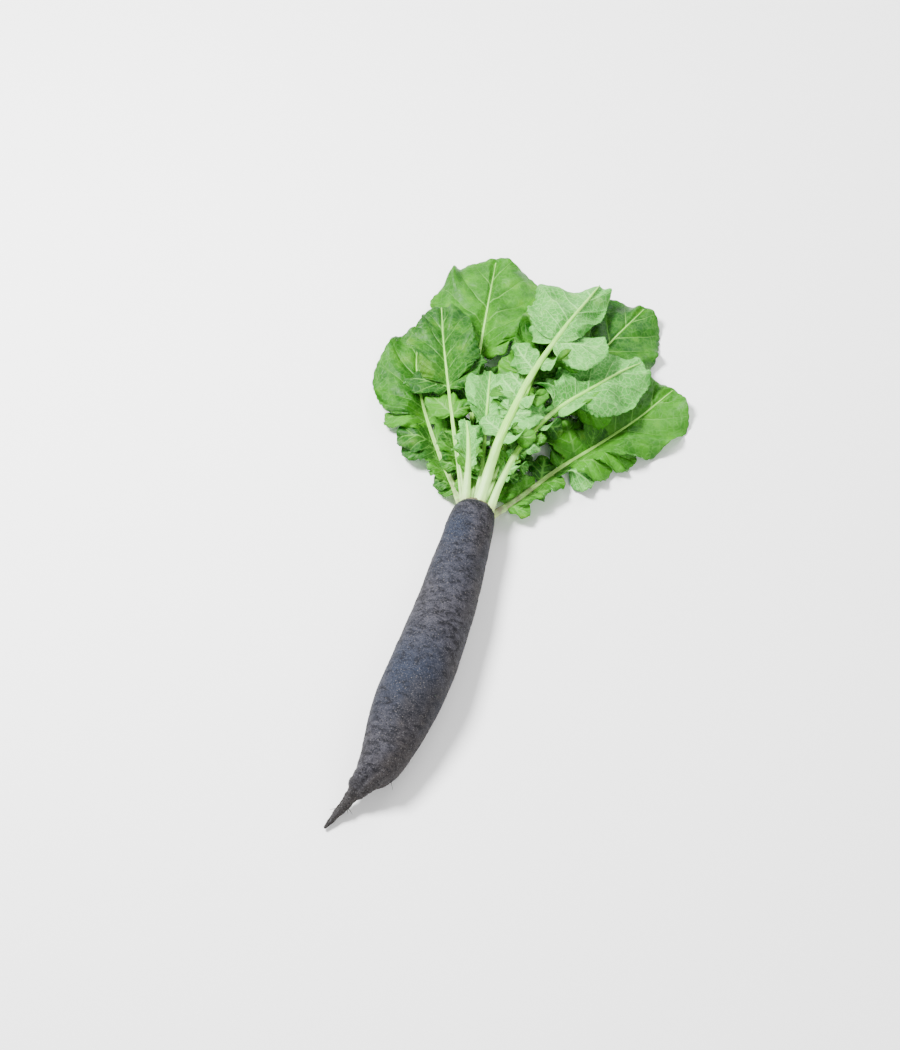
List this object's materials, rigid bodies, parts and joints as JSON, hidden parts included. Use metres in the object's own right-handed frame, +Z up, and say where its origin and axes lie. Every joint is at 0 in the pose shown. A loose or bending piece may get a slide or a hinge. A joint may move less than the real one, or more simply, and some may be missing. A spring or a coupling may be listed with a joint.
{
  "type": "long black radish",
  "caption": "Long cylindrical black-skinned radish root with a thin tail and its fan of lobed green leaves, lying on its side as picked.",
  "frame": {"origin": "on the surface that the radish rests on, at the flat under the root's thickest stretch", "axes": "+Y along the root from its tail to its leaves, +Z up, +X to the right with the leaves pointing away"},
  "size_m": [0.252, 0.5225, 0.0517],
  "materials": {
    "root_skin": "matte charcoal skin, dusty, with blue-grey and brown patches",
    "crown_collar": "matte brown-green scarred collar",
    "leaf_stalk": "satin, whitish at the base to yellow-green",
    "leaf_blade": "satin mid green above, matte pale green below"
  },
  "bodies": {
    "root": {"taproot": "root_skin", "crown": "crown_collar", "main_leaf_stalk": "leaf_stalk", "main_leaf_blade": "leaf_blade", "short_leaf_stalk": "leaf_stalk", "short_leaf_blade": "leaf_blade", "inner_leaf_stalk": "leaf_stalk", "inner_leaf_blade": "leaf_blade", "right_upper_leaf_stalk": "leaf_stalk", "right_upper_leaf_blade": "leaf_blade", "left_upper_leaf_stalk": "leaf_stalk", "left_upper_leaf_blade": "leaf_blade", "centre_back_leaf_stalk": "leaf_stalk", "centre_back_leaf_blade": "leaf_blade", "left_lower_leaf_stalk": "leaf_stalk", "left_lower_leaf_blade": "leaf_blade", "broad_back_leaf_stalk": "leaf_stalk", "broad_back_leaf_blade": "leaf_blade", "right_lower_leaf_stalk": "leaf_stalk", "right_lower_leaf_blade": "leaf_blade", "right_back_leaf_stalk": "leaf_stalk", "right_back_leaf_blade": "leaf_blade"}
  },
  "joints": []
}
